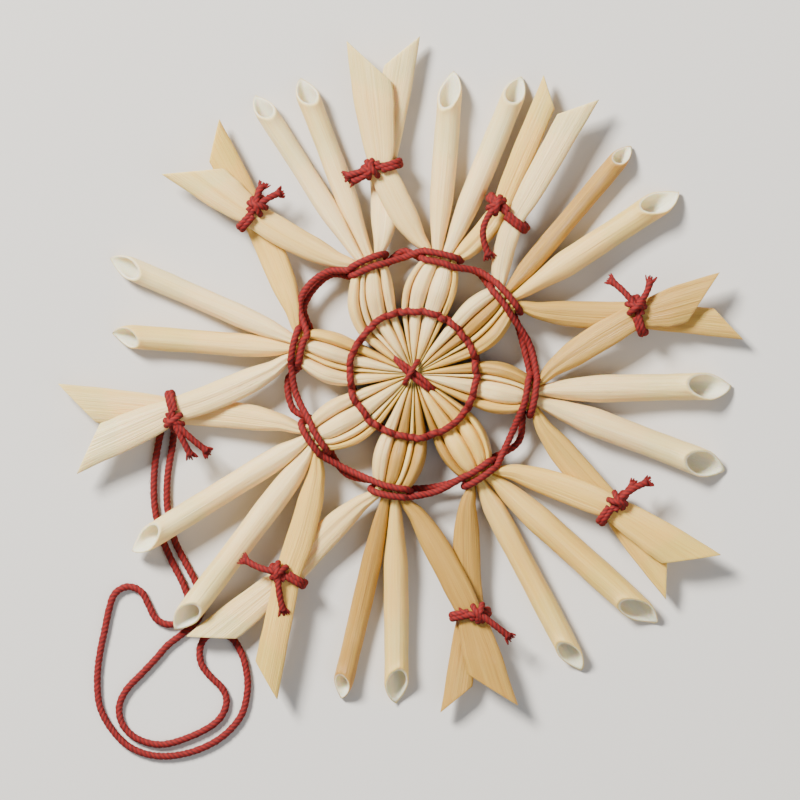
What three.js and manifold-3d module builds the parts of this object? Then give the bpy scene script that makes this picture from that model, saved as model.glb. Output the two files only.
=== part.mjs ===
// Straw star ornament: sixteen whole straws crossed at the middle, held by red thread, with a hanging loop.
// Millimetres, +Z up. The star lies on z = 0 with its face up.
import * as THREE from 'three';
import { mergeVertices } from 'three/addons/utils/BufferGeometryUtils.js';
import Module from 'manifold-3d';

// ---- driving dimensions ----
const MID_Z = 2.8;             // height of the middle plane of the star above the table
const HUB_R = 2.4;             // straws lie in their own layers inside this radius
const STITCH_R = 3.3;
const RING_R = 7.5;            // inner thread ring
const BULGE_R = 10.3;          // widest part of the petals
const NECK_R = 12.6;
const NODE_R = 14;             // outer thread ring, where four straws are drawn together
const LAYER = 0.25;            // height of one layer at the middle
const STRIP = 0.2;             // thickness of a crushed straw at the middle
const TUBE_LIFT = 1.15;        // height of the two tubes that lie over the hanging loop
const WALL_SHARE = 0.74;       // bore of a straw end as a share of its width
const BORE_DEPTH = 12;
const TUBE_CUT = 1.6;          // length of the oblique cut per unit of straw height
const TIP_CUT = 1.15;          // length of the diagonal cut per unit of flat width
const FLAT_H = 1.0;
const TIE_W = 3.1;
const TIE_H = 1.1;
const TIE_LIFT = 0.75;         // height of the two straws above and below the middle plane at a tie
const RING_H = 3.1;            // height of a straw under the inner thread ring
const NODE_H = 3.1;            // height of a straw where four are drawn together
const THREAD_R = 0.36;         // thread of the ties
const RING_THREAD_R = 0.46;     // thread of the two rings
const THREAD_GAP = 0.05;
const LINK_R = 0.28;
const STITCH_THREAD_R = 0.3;
const TAIL_R = 0.34;
const KNOT_R = 0.72;
const TIE_TURN = -10;          // the one tie that sits askew
const CORD_R = 0.45;
const CORD_CLEAR = 0.03;
const CORD_STEPS = 72;
const SIDES = 8;

// Bunches of four straws, counted anticlockwise: bearing of the bunch, then bearing, reach and diameter of
// its two tubes.
const BUNCHES = [
  { at: -10.1, tubes: [[-17.4, 38.4, 3.3], [-2.1, 37.5, 3.2]] },
  { at: 39.6, tubes: [[34.9, 37.9, 3.1], [46.6, 37.1, 2.3]] },
  { at: 76.9, tubes: [[70.3, 37.3, 2.8], [83.1, 36.1, 2.9]] },
  { at: 113.0, tubes: [[111.2, 37.5, 2.7], [120.0, 38.0, 2.5]] },
  { at: 166.5, tubes: [[159.7, 38.8, 2.7], [173.0, 36.4, 2.8]] },
  { at: 212.7, tubes: [[211.8, 39.8, 2.9], [227.1, 41.8, 3.0]] },
  { at: 258.6, tubes: [[256.9, 39.7, 2.4], [266.8, 39.3, 2.9]] },
  { at: 303.4, tubes: [[299.0, 40.4, 2.8], [313.8, 41.2, 3.3]] },
];

// Ties, each between one bunch and the next: bearing and radius of the tie, then bearing, reach and width of
// the tip of the straw on top and of the straw underneath, then the way each cut tail points and its length.
const TIES = [
  { at: 14.6, r: 27.5, over: [18.5, 38.0, 4.7], under: [6.0, 39.4, 3.3], tails: [[135, 4.2], [62, 3.4]] },
  { at: 59.8, r: 22.0, over: [58.5, 39.0, 3.4], under: [64.6, 38.5, 2.8],
    tails: [[262, 6.0]], knot: 1, side: 1.1, slim: 2.3 },
  { at: 98.9, r: 24.8, over: [101.6, 40.0, 4.9], under: [89.0, 40.2, 3.7],
    tails: [[196, 3.0], [212, 2.6]], slim: 2.1 },
  { at: 135.5, r: 27.0, over: [141.8, 38.2, 4.9], under: [127.5, 38.3, 3.5],
    tails: [[75, 2.4], [30, 3.0]] },
  { at: 188.9, r: 29.0, over: [196.7, 42.1, 4.4], under: [181.8, 42.6, 4.2],
    tails: [[318, 5.2], [296, 4.4]] },
  { at: 238.0, r: 28.3, over: [247.2, 42.2, 3.4], under: [228.9, 41.8, 4.0],
    tails: [[160, 4.2], [277, 4.6]] },
  { at: 283.1, r: 29.2, over: [287.5, 41.1, 4.7], under: [274.2, 40.7, 3.3],
    tails: [[322, 4.4], [180, 2.2]] },
  { at: 326.0, r: 28.3, over: [329.6, 42.0, 4.6], under: [318.0, 40.3, 4.0],
    tails: [[33, 4.0], [48, 2.6]] },
];

// The hanging loop in plan, from its tie out round the fold and back to its tie.
const LOOP_PATH = [
  [-29.8, -5.2], [-30.5, -8], [-31.1, -12.1], [-31, -16.2], [-30.1, -19.8], [-28.8, -22.8],
  [-27.6, -25.2], [-27, -27.4], [-27.6, -29.2], [-29.2, -29.95], [-30.85, -29.3],
  [-31.75, -27.65], [-32.65, -26.05], [-34.25, -25.45], [-35.8, -26.3], [-36.5, -28.2],
  [-37, -30.6], [-37.6, -33.5], [-37.9, -36.5], [-37.6, -39.7], [-36.2, -42.4], [-33.9, -44.6],
  [-30.6, -45.6], [-26.7, -45.1], [-23.2, -43.4], [-20.8, -40.8], [-20, -37.7], [-20.2, -35],
  [-20.9, -32.9], [-22, -31.4], [-23.6, -30.85], [-25.1, -31.55], [-25.7, -33.1], [-25.4, -34.8],
  [-24.3, -36.2], [-23, -37.5], [-22.5, -39.2], [-23.5, -41.3], [-26.2, -43], [-30, -44.2],
  [-33, -43.6], [-34.8, -42], [-35.3, -39.8], [-34.4, -37.7], [-32.6, -35.8], [-30.9, -34],
  [-29.5, -32.4], [-27.7, -31], [-26, -29.5], [-25.3, -27.5], [-26.1, -25], [-27.4, -22.5],
  [-28.7, -19.8], [-29.5, -16.2], [-29.5, -12.4], [-28.9, -8.6], [-28.6, -5.8],
];

const SLOTS = {
  straw: new THREE.MeshStandardMaterial({ name: 'straw', color: 0xe9dcc0, roughness: 0.6 }),
  thread: new THREE.MeshStandardMaterial({ name: 'thread', color: 0xb3201a, roughness: 0.85 }),
};

const rad = (deg) => (deg * Math.PI) / 180;
const polar = (deg, r) => new THREE.Vector2(r * Math.cos(rad(deg)), r * Math.sin(rad(deg)));
const mix = (a, b, t) => a + (b - a) * t;

const wasm = await Module();
wasm.setup();

function solid(geometry) {
  let g = geometry.clone();
  g.deleteAttribute('normal');
  g.deleteAttribute('uv');
  g = mergeVertices(g, 1e-4);
  return new wasm.Manifold(new wasm.Mesh({
    numProp: 3,
    vertProperties: new Float32Array(g.attributes.position.array),
    triVerts: new Uint32Array(g.index.array),
  }));
}

function geometryOf(manifold) {
  const mesh = manifold.getMesh();
  const g = new THREE.BufferGeometry();
  g.setAttribute('position', new THREE.BufferAttribute(new Float32Array(mesh.vertProperties), 3));
  g.setIndex(new THREE.BufferAttribute(new Uint32Array(mesh.triVerts), 1));
  return g;
}

function joined(geometries) {
  return geometryOf(geometries.map(solid).reduce((a, b) => a.add(b)));
}

// ---- one arm: stations from the middle to the tip ----
// A station is { p, z, w, h, cutUp, cutSide }: plan position, height, width, thickness, and how far the end
// is slanted along the arm per unit of height and per unit of width.

const hubBearing = (k, m, pitch) => 45 * k - 9 + (m - 1.5) * pitch;

function innerStations(k, m, layerZ) {
  const node = BUNCHES[k].at;
  const ideal = 45 * k - 9;
  const lean = Math.cos(rad(2 * (node - ideal)));
  const onArc = (r, share, spacing) => {
    const centre = polar(mix(ideal, node, share), r);
    const across = polar(mix(ideal, node, share) + 90, (m - 1.5) * spacing);
    return centre.add(across);
  };
  return [
    { p: polar(hubBearing(k, m, 8), HUB_R), z: layerZ, w: 0.26, h: STRIP },
    { p: polar(hubBearing(k, m, 8), STITCH_R), z: MID_Z, w: 0.36, h: 3.4 },
    { p: polar(hubBearing(k, m, 10), RING_R), z: MID_Z, w: 1.16 * lean, h: RING_H },
    { p: onArc(BULGE_R, 0.45, 1.4), z: MID_Z, w: 1.3 * lean, h: 3.7 },
    { p: onArc(NECK_R, 0.85, 1.14), z: MID_Z, w: 1.04 * lean, h: 3.5 },
    { p: onArc(NODE_R, 1, 0.95), z: MID_Z, w: 0.86, h: NODE_H },
  ];
}

function tubeStations(k, m, layerZ) {
  const inner = innerStations(k, m, layerZ);
  const root = inner[inner.length - 1].p;
  const pair = BUNCHES[k].tubes.map(([deg, reach]) => polar(deg, reach));
  const tip = pair[m - 1];
  const spread = pair[0].distanceTo(pair[1]);
  const d = BUNCHES[k].tubes[m - 1][2];
  const restZ = d / 2 + (k === 5 ? TUBE_LIFT : 0);
  const outer = [0.18, 0.36, 0.62].map((t) => {
    const w = Math.min(d, 0.93 * mix(0.95, spread, t));
    const p = root.clone().lerp(tip, t);
    return { p, z: mix(MID_Z, restZ, Math.min(1, t / 0.62)), w, h: mix(NODE_H, d, Math.min(1, t * 3)) };
  });
  const end = { p: tip, z: restZ, w: d, h: d, cutUp: TUBE_CUT };
  return [...inner, ...outer, end];
}

function sideStations(k, m, layerZ) {
  const inner = innerStations(k, m, layerZ);
  const root = inner[inner.length - 1].p;
  const over = m === 3;
  const tie = TIES[over ? k : (k + 7) % 8];
  const sign = over ? 1 : -1;
  const side = tie.side || 0;
  const crossing = polar(tie.at, tie.r).add(polar(tie.at - 90, sign * side));
  const tieZ = MID_Z + sign * TIE_LIFT;
  const tieW = side ? tie.slim : TIE_W;
  const slim = tie.slim || TIE_W;
  const [tipBearing, reach, w] = over ? tie.over : tie.under;
  const inset = side ? 0 : (-sign * w) / 2;
  const tip = polar(tipBearing, reach).add(polar(tipBearing + 90, inset));
  const axis = polar(BUNCHES[k].at + 90, sign * 0.5);
  const bow = (t) => root.clone().lerp(crossing, t).add(axis.clone().multiplyScalar(4 * t * (1 - t)));
  return [
    ...inner,
    { p: bow(0.2), z: MID_Z, w: 1.8, h: 2.8 },
    { p: bow(0.42), z: MID_Z + sign * 0.35, w: slim - 0.1, h: 2.1 },
    { p: bow(0.72), z: MID_Z + sign * 0.72, w: slim, h: 1.2 },
    { p: crossing, z: tieZ, w: tieW, h: TIE_H },
    { p: crossing.clone().lerp(tip, 0.45), z: tieZ, w: mix(tieW, w, 0.8), h: FLAT_H },
    { p: tip, z: tieZ - sign * 0.15, w, h: FLAT_H * 0.9, cutSide: (tie.side ? -1 : 1) * sign * TIP_CUT },
  ];
}

// ---- a whole straw: two arms through the middle, as a lathe turned about its own length then laid out ----

function strawGeometry(stationsA, stationsB, layerZ, bored) {
  const middle = { p: new THREE.Vector2(0, 0), z: layerZ, w: 0.26, h: STRIP };
  const line = [...stationsB].reverse().concat([middle], stationsA);
  const last = line.length - 1;
  const profile = [];
  const reach = (i, j) => line[i].p.distanceTo(line[j].p);
  const boreAt = bored ? BORE_DEPTH / reach(0, 1) : 0;
  const boreAtEnd = bored ? last - BORE_DEPTH / reach(last - 1, last) : last;
  if (bored) {
    profile.push([0, boreAt], [WALL_SHARE, boreAt], [WALL_SHARE, boreAt / 2], [WALL_SHARE, 0]);
  } else {
    profile.push([0, 0]);
  }
  line.forEach((_, i) => profile.push([1, i]));
  if (bored) {
    profile.push([WALL_SHARE, last], [WALL_SHARE, (last + boreAtEnd) / 2]);
    profile.push([WALL_SHARE, boreAtEnd], [0, boreAtEnd]);
  } else {
    profile.push([0, last]);
  }
  const points = profile.map(([x, y]) => new THREE.Vector2(x, y));
  const g = new THREE.LatheGeometry(points, SIDES, Math.PI / SIDES);
  const flat = 1 / Math.cos(Math.PI / SIDES);
  const position = g.attributes.position;
  const dirs = line.map((_, i) => {
    const a = line[Math.max(0, i - 1)].p;
    const b = line[Math.min(last, i + 1)].p;
    return b.clone().sub(a).normalize();
  });
  for (let v = 0; v < position.count; v += 1) {
    const y = position.getY(v);
    const i = Math.min(last - 1, Math.floor(y + 1e-6));
    const t = y - i;
    const a = line[i];
    const b = line[i + 1];
    const dir = dirs[i].clone().lerp(dirs[i + 1], t).normalize();
    const across = (position.getX(v) * flat * mix(a.w, b.w, t)) / 2;
    const up = (position.getZ(v) * flat * mix(a.h, b.h, t)) / 2;
    const outward = i === 0 && t < 0.99 ? -1 : 1;
    const fade = i === 0 ? 1 - t : i === last - 1 ? t : 0;
    const end = i === 0 ? a : b;
    const halfH = end.h / 2;
    const halfW = end.w / 2;
    let slide = 0;
    if (end.cutUp) {
      slide = -end.cutUp * (up + halfH) * fade * outward;
    }
    if (end.cutSide) {
      const toLeft = across * outward;
      slide = -(halfW + toLeft * Math.sign(end.cutSide)) * Math.abs(end.cutSide) * fade * outward;
    }
    const p = a.p.clone().lerp(b.p, t);
    const x = p.x + dir.x * slide + dir.y * across;
    const yy = p.y + dir.y * slide - dir.x * across;
    position.setXYZ(v, x, yy, mix(a.z, b.z, t) + up);
  }
  return g;
}

// ---- threads ----

const UP = new THREE.Vector3(0, 0, 1);
const at3 = (p, z) => new THREE.Vector3(p.x, p.y, z);

function sweptRing(centreAt, radius, steps, sides, normal) {
  // A torus whose centre line is moved onto centreAt(share of the turn); normal is that of an upright loop.
  const g = new THREE.TorusGeometry(1, 0.5, sides, steps);
  const position = g.attributes.position;
  for (let v = 0; v < position.count; v += 1) {
    const x = position.getX(v);
    const y = position.getY(v);
    const share = (Math.atan2(y, x) / (2 * Math.PI) + 1) % 1;
    const c = centreAt(share);
    const ahead = centreAt((share + 0.002) % 1).sub(centreAt((share + 0.998) % 1)).normalize();
    const side = normal ? normal.clone() : new THREE.Vector3().crossVectors(ahead, UP).normalize();
    const lift = new THREE.Vector3().crossVectors(side, ahead).normalize();
    const out = (Math.hypot(x, y) - 1) * 2 * radius;
    c.addScaledVector(side, out).addScaledVector(lift, position.getZ(v) * 2 * radius);
    position.setXYZ(v, c.x, c.y, c.z);
  }
  return g;
}

function rod(from, to, radius, sides) {
  const g = new THREE.CylinderGeometry(radius, radius, from.distanceTo(to), sides);
  g.applyQuaternion(new THREE.Quaternion().setFromUnitVectors(
    new THREE.Vector3(0, 1, 0),
    to.clone().sub(from).normalize(),
  ));
  g.translate((from.x + to.x) / 2, (from.y + to.y) / 2, (from.z + to.z) / 2);
  return g;
}

function uprightLoop(centre, bearing, halfWidth, halfHeight, radius, steps) {
  // A rounded rectangle standing across the plan, its width along the bearing.
  const along = polar(bearing, 1);
  const power = (v) => Math.sign(v) * Math.sqrt(Math.abs(v));
  const centreAt = (share) => {
    const a = power(Math.cos(2 * Math.PI * share)) * halfWidth;
    const b = power(Math.sin(2 * Math.PI * share)) * halfHeight;
    return new THREE.Vector3(centre.x + along.x * a, centre.y + along.y * a, centre.z + b);
  };
  return sweptRing(centreAt, radius, steps, 5, new THREE.Vector3(-along.y, along.x, 0));
}

function innerRing() {
  const height = RING_H / 2 + RING_THREAD_R + THREAD_GAP;
  const centreAt = (sign) => (s) => at3(polar(360 * s, RING_R), MID_Z + sign * height);
  const strand = (sign) => sweptRing(centreAt(sign), RING_THREAD_R, 32, 5);
  const posts = [0, 2, 4, 6].map((k) => {
    const p = polar(hubBearing(k, 1.5, 0) + 22.5, RING_R);
    return rod(at3(p, MID_Z - height), at3(p, MID_Z + height), LINK_R, 6);
  });
  return joined([strand(1), strand(-1), ...posts]);
}

function outerRing() {
  const height = NODE_H / 2 + RING_THREAD_R + THREAD_GAP;
  const strand = (sign) => {
    const points = [];
    BUNCHES.forEach((bunch, k) => {
      const next = BUNCHES[(k + 1) % 8];
      const here = polar(bunch.at, NODE_R);
      const side = polar(bunch.at + 90, 1);
      const onward = polar(next.at, NODE_R).sub(polar(next.at + 90, 2.2));
      const left = here.clone().addScaledVector(side, 2.2);
      points.push(at3(here.clone().addScaledVector(side, -2.2), MID_Z + sign * height));
      points.push(at3(here, MID_Z + sign * (height + 0.02)));
      points.push(at3(left, MID_Z + sign * height));
      points.push(at3(left.clone().lerp(onward, 0.2), MID_Z + sign * 0.9));
      points.push(at3(left.clone().lerp(onward, 0.5), MID_Z + sign * 0.3));
      points.push(at3(left.clone().lerp(onward, 0.8), MID_Z + sign * 0.9));
    });
    const curve = new THREE.CatmullRomCurve3(points, true, 'centripetal');
    return sweptRing((s) => curve.getPoint(s), RING_THREAD_R, points.length, 5);
  };
  return joined([strand(1), strand(-1)]);
}

function stitch() {
  const height = 7.5 * LAYER + STRIP / 2 + STITCH_THREAD_R + THREAD_GAP;
  const across = hubBearing(0, 1.5, 0) - 22.5;
  const loop = uprightLoop(new THREE.Vector3(0, 0, MID_Z), across, STITCH_R, height, STITCH_THREAD_R, 20);
  const from = at3(polar(across + 95, 1.5), MID_Z + height + 0.1);
  const to = at3(polar(across + 275, 1.5), MID_Z + height + 0.1);
  return joined([loop, rod(from, to, STITCH_THREAD_R, 6)]);
}

function pointTie(tie) {
  const p = polar(tie.at, tie.r);
  const side = tie.side || 0;
  const halfWidth = (side ? tie.slim : TIE_W) / 2 + side + THREAD_R + (side ? 0.33 : 0.45);
  const halfHeight = TIE_LIFT + TIE_H / 2 + THREAD_R + 0.15;
  const bearing = tie.at + 90 + (side ? TIE_TURN : 0);
  const loop = uprightLoop(at3(p, MID_Z), bearing, halfWidth, halfHeight, THREAD_R, 14);
  const [firstTail] = tie.tails;
  const toward = tie.knot || Math.sign(polar(firstTail[0], 1).dot(polar(bearing, 1)));
  const knotPlan = p.clone().addScaledVector(polar(bearing, 1), toward * halfWidth * 0.5);
  const knotAt = at3(knotPlan, MID_Z + halfHeight);
  const knot = new THREE.IcosahedronGeometry(KNOT_R, 0);
  knot.translate(knotAt.x, knotAt.y, knotAt.z + 0.1);
  const tails = tie.tails.map(([deg, length], i) => {
    const end = polar(deg, length);
    const tip = new THREE.Vector3(knotAt.x + end.x, knotAt.y + end.y, knotAt.z + 0.1 - 0.15 * i);
    return rod(knotAt, tip, TAIL_R, 5);
  });
  return joined([loop, knot, ...tails]);
}

function hangingLoop() {
  const path = LOOP_PATH.map(([x, y]) => new THREE.Vector3(x, y, CORD_R + CORD_CLEAR));
  const ring = [];
  for (let i = 0; i < SIDES; i += 1) {
    const a = (2 * Math.PI * i) / SIDES;
    ring.push(new THREE.Vector2(CORD_R * Math.cos(a), CORD_R * Math.sin(a)));
  }
  return new THREE.ExtrudeGeometry(new THREE.Shape(ring), {
    steps: CORD_STEPS,
    bevelEnabled: false,
    extrudePath: new THREE.CatmullRomCurve3(path, false, 'centripetal'),
  });
}

// ---- the whole star ----

function build() {
  const star = new THREE.Group();
  const add = (name, geometry, slot) => {
    const mesh = new THREE.Mesh(geometry, SLOTS[slot].clone());
    mesh.name = name;
    star.add(mesh);
  };
  let tubes = 0;
  let crossed = 0;
  for (let i = 0; i < 16; i += 1) {
    const k = Math.floor(i / 4);
    const m = i % 4;
    const layerZ = MID_Z + (i - 7.5) * LAYER;
    const tube = m === 1 || m === 2;
    const arm = tube ? tubeStations : sideStations;
    const geometry = strawGeometry(arm(k, m, layerZ), arm(k + 4, m, layerZ), layerZ, tube);
    tubes += tube ? 1 : 0;
    crossed += tube ? 0 : 1;
    add(tube ? `tube_straw_${tubes}` : `crossed_straw_${crossed}`, geometry, 'straw');
  }
  add('waist_stitch', stitch(), 'thread');
  add('inner_ring_thread', innerRing(), 'thread');
  add('outer_ring_thread', outerRing(), 'thread');
  TIES.forEach((tie, i) => add(`point_tie_${i + 1}`, pointTie(tie), 'thread'));
  const box = new THREE.Box3().setFromObject(star);
  const centre = box.getCenter(new THREE.Vector3());
  add('hanging_loop', hangingLoop(), 'thread');
  star.children.forEach((mesh) => mesh.geometry.translate(-centre.x, -centre.y, 0));
  return star;
}

export default build();
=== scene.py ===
# %% [markdown]
# # A straw star, drawn together with red thread
# Sixteen whole straws cross at the middle. Thread pins them there, gathers them into eight bunches of
# four, and ties the outer straws of neighbouring bunches together in pairs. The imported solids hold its
# sizes and places. This lesson repeats those measures and dresses them: hollow straws with fibres and cut
# ends, and thread that looks twisted and knotted.

import math
import random

import bmesh
import bpy
import numpy as np
from mathutils import Matrix, Vector


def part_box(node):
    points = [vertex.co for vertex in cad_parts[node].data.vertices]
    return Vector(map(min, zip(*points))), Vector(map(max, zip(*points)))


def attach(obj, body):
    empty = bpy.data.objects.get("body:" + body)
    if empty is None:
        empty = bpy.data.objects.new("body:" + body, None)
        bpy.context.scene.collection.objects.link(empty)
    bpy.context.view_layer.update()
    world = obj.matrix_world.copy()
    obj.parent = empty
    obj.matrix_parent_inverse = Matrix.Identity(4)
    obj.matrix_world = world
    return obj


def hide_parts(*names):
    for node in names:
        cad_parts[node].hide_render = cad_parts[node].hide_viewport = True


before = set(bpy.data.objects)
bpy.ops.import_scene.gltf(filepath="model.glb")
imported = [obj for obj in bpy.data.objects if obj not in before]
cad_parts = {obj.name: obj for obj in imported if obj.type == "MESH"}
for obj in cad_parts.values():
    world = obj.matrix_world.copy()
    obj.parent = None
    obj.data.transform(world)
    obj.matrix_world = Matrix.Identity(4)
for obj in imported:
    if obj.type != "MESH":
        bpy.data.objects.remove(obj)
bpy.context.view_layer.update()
MM = 0.001
ring_low, ring_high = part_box("inner_ring_thread")
CENTRE = Vector(((ring_low[0] + ring_high[0]) / 2, (ring_low[1] + ring_high[1]) / 2, 0))
print("nodes", len(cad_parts), "star centre", [round(c / MM, 2) for c in CENTRE])

# %% [markdown]
# ## Camera
# The star lies flat and is looked at from straight above, with the camera a little off to one side. A
# long lens from far away keeps the straws at the rim from leaning outwards.

# %% Camera
def look_from(offset, target, lens):
    camera = bpy.data.objects.new("camera", bpy.data.cameras.new("camera"))
    bpy.context.scene.collection.objects.link(camera)
    camera.location = target + offset
    back = offset.normalized()
    right = Vector((0, 1, 0)).cross(back).normalized()
    camera.rotation_euler = Matrix((right, back.cross(right), back)).transposed().to_euler()
    camera.data.lens = lens
    camera.data.clip_end = 20
    bpy.context.scene.camera = camera
    return camera


star_middle = Vector((0.0, -0.0030, 0.002))
camera = look_from(Vector((0.082, 0.046, 1.2)), star_middle, 458)
print("camera", [round(c, 3) for c in camera.location])

# %% [markdown]
# ## Where everything goes
# Bearings are degrees anticlockwise from the right, radii are millimetres from the middle of the star. A
# bunch has two round straws in its middle and one flattened straw on each side, which leans over to the
# next bunch's tie.

# %% Measures of the star
MID_Z = 2.8
RING_R, BULGE_R, NECK_R, NODE_R = 7.5, 10.3, 12.6, 14.0
TUBE_LIFT = 1.15
FLAT_H = 1.0
TIE_W, TIE_H, TIE_LIFT = 3.1, 1.1, 0.75
TIP_CUT, TUBE_CUTS = 1.15, (1.25, 1.75)
TUBE_DOWN_AT = 0.62
TUBE_WALL, FLAT_WALL = 0.27, 0.22
TUBE_BORE, FLAT_BORE = 10.0, 5.0
THREAD_R, RING_THREAD_R, LINK_THREAD_R, STITCH_THREAD_R = 0.36, 0.46, 0.27, 0.33
TIE_THREAD_R, KNOT_THREAD_R = 0.42, 0.38
CORD_R, CORD_Z = 0.45, 0.48

BUNCHES = [
    {"at": -10.1, "tubes": [(-17.4, 38.4, 3.3), (-2.1, 37.5, 3.2)],
     "tones": [0.60, 0.12, 0.15, 0.80], "slack": (0.3, -0.5)},
    {"at": 39.6, "tubes": [(34.9, 37.9, 3.1), (46.6, 37.1, 2.3)],
     "tones": [0.72, 0.32, 0.95, 0.10], "slack": (0.2, 0.0)},
    {"at": 76.9, "tubes": [(70.3, 37.3, 2.8), (83.1, 36.1, 2.9)],
     "tones": [0.40, 0.08, 0.12, 0.22], "slack": (-0.3, 0.4)},
    {"at": 113.0, "tubes": [(111.2, 37.5, 2.7), (120.0, 38.0, 2.5)],
     "tones": [0.10, 0.15, 0.02, 0.28], "slack": (2.6, 1.9)},
    {"at": 166.5, "tubes": [(159.7, 38.8, 2.7), (173.0, 36.4, 2.8)],
     "tones": [0.52, 0.05, 0.32, 0.10], "slack": (0.3, 1.3)},
    {"at": 212.7, "tubes": [(211.8, 39.8, 2.9), (227.1, 41.8, 3.0)],
     "tones": [0.22, 0.10, 0.15, 0.50], "slack": (-0.1, 0.5)},
    {"at": 258.6, "tubes": [(256.9, 39.7, 2.4), (266.8, 39.3, 2.9)],
     "tones": [0.18, 0.95, 0.36, 0.92], "slack": (0.2, -0.3)},
    {"at": 303.4, "tubes": [(299.0, 40.4, 2.8), (313.8, 41.2, 3.3)],
     "tones": [0.95, 0.38, 0.42, 0.45], "slack": (-0.3, 0.8)},
]
SHARES = [
    (0.9, 1.6, 0.45, 1.1), (1.2, 0.5, 1.1, 1.3), (0.5, 1.6, 1.35, 0.6), (0.9, 1.5, 0.6, 1.1),
    (1.0, 1.3, 0.5, 1.3), (1.2, 1.6, 0.65, 0.6), (1.3, 1.2, 0.55, 1.05), (0.8, 1.5, 1.2, 0.55),
]
TIES = [
    {"at": 14.6, "r": 27.5, "over": (18.5, 38.0, 4.7), "under": (6.0, 39.4, 3.3),
     "tails": [(135, 4.2), (62, 3.4)]},
    {"at": 59.8, "r": 22.0, "over": (58.5, 39.0, 3.4), "under": (64.6, 38.5, 2.8),
     "tails": [(262, 6.0)], "knot": 1, "side": 1.1, "slim": 2.3},
    {"at": 98.9, "r": 24.8, "over": (101.6, 40.0, 4.9), "under": (89.0, 40.2, 3.7),
     "tails": [(196, 3.0), (212, 2.6)], "slim": 2.1},
    {"at": 135.5, "r": 27.0, "over": (141.8, 38.2, 4.9), "under": (127.5, 38.3, 3.5),
     "tails": [(75, 2.4), (30, 3.0)]},
    {"at": 188.9, "r": 29.0, "over": (196.7, 42.1, 4.4), "under": (181.8, 42.6, 4.2),
     "tails": [(318, 5.2), (296, 4.4)]},
    {"at": 238.0, "r": 28.3, "over": (247.2, 42.2, 3.4), "under": (228.9, 41.8, 4.0),
     "tails": [(160, 4.2), (277, 4.6)]},
    {"at": 283.1, "r": 29.2, "over": (287.5, 41.1, 4.7), "under": (274.2, 40.7, 3.3),
     "tails": [(322, 4.4), (180, 2.2)]},
    {"at": 326.0, "r": 28.3, "over": (329.6, 42.0, 4.6), "under": (318.0, 40.3, 4.0),
     "tails": [(33, 4.0), (48, 2.6)]},
]
print("bunches", len(BUNCHES), "ties", len(TIES))


# %% Small helpers for places in plan
def polar(bearing, radius):
    return Vector((radius * math.cos(math.radians(bearing)), radius * math.sin(math.radians(bearing))))


def mix(a, b, t):
    return a + (b - a) * t


def smooth_rows(rows, step):
    """Rows of numbers, the first two a place in plan, refined to one row every step along the line."""
    rows = np.array(rows, dtype=float)
    gaps = np.hypot(*np.diff(rows[:, :2], axis=0).T)
    knots = np.concatenate([[0], np.cumsum(gaps)])
    slopes = np.gradient(rows, knots, axis=0)
    secants = np.diff(rows, axis=0) / gaps[:, None]
    for column in range(3, rows.shape[1]):
        s = secants[:, column]
        both = s[:-1] * s[1:]
        mean = np.where(both > 0, 2 * both / np.where(both > 0, s[:-1] + s[1:], 1), 0)
        slopes[1:-1, column] = mean
    at = np.linspace(0, knots[-1], max(2, round(knots[-1] / step) + 1))
    i = np.clip(np.searchsorted(knots, at, side="right") - 1, 0, len(knots) - 2)
    h = gaps[i][:, None]
    t = ((at - knots[i]) / gaps[i])[:, None]
    fine = (
        (2 * t**3 - 3 * t**2 + 1) * rows[i]
        + (t**3 - 2 * t**2 + t) * h * slopes[i]
        + (3 * t**2 - 2 * t**3) * rows[i + 1]
        + (t**3 - t**2) * h * slopes[i + 1]
    )
    return at, fine


# %% [markdown]
# ## The skin of a straw
# A straw is one tube from end to end: round where it is free, pinched to a fin where thread draws it in,
# and flat where two straws are tied across each other. It starts as a circle, which is extruded again and
# again along the line while every new ring is pushed into its own cross-section. At each end the ring is
# turned in over the rim and carried back down the inside, so that the cut end is hollow and has a wall.
# Three facts are written on each point for the finish: its place on the straw before it was bent, the
# straw's tone, and how far inside it is.

# %% Extrude a ring of points along a line
def skin_along(rings, facts, sides, closed=False):
    """A tube through rings of places in millimetres; facts give (grain, tone, inside) for each ring."""
    bm = bmesh.new()
    spoke = bm.verts.layers.int.new("spoke")
    grain = bm.verts.layers.float_vector.new("grain")
    tone = bm.verts.layers.float.new("tone")
    inside = bm.verts.layers.float.new("inside")

    def place(verts, ring, fact):
        for v in verts:
            j = v[spoke]
            v.co = ring[j]
            v[grain] = fact[0][j]
            v[tone] = fact[1]
            v[inside] = fact[2][j]

    first = bmesh.ops.create_circle(bm, segments=sides, radius=1.0)["verts"]
    for j, v in enumerate(first):
        v[spoke] = j
    first_edges = list(bm.edges)
    place(first, rings[0], facts[0])
    edges = first_edges
    for ring, fact in zip(rings[1:], facts[1:]):
        made = bmesh.ops.extrude_edge_only(bm, edges=edges)["geom"]
        edges = [e for e in made if isinstance(e, bmesh.types.BMEdge)]
        place([v for v in made if isinstance(v, bmesh.types.BMVert)], ring, fact)
    if closed:
        bmesh.ops.bridge_loops(bm, edges=first_edges + edges)
    else:
        bmesh.ops.contextual_create(bm, geom=first_edges)
        bmesh.ops.contextual_create(bm, geom=edges)
    bmesh.ops.recalc_face_normals(bm, faces=bm.faces)
    return bm


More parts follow.
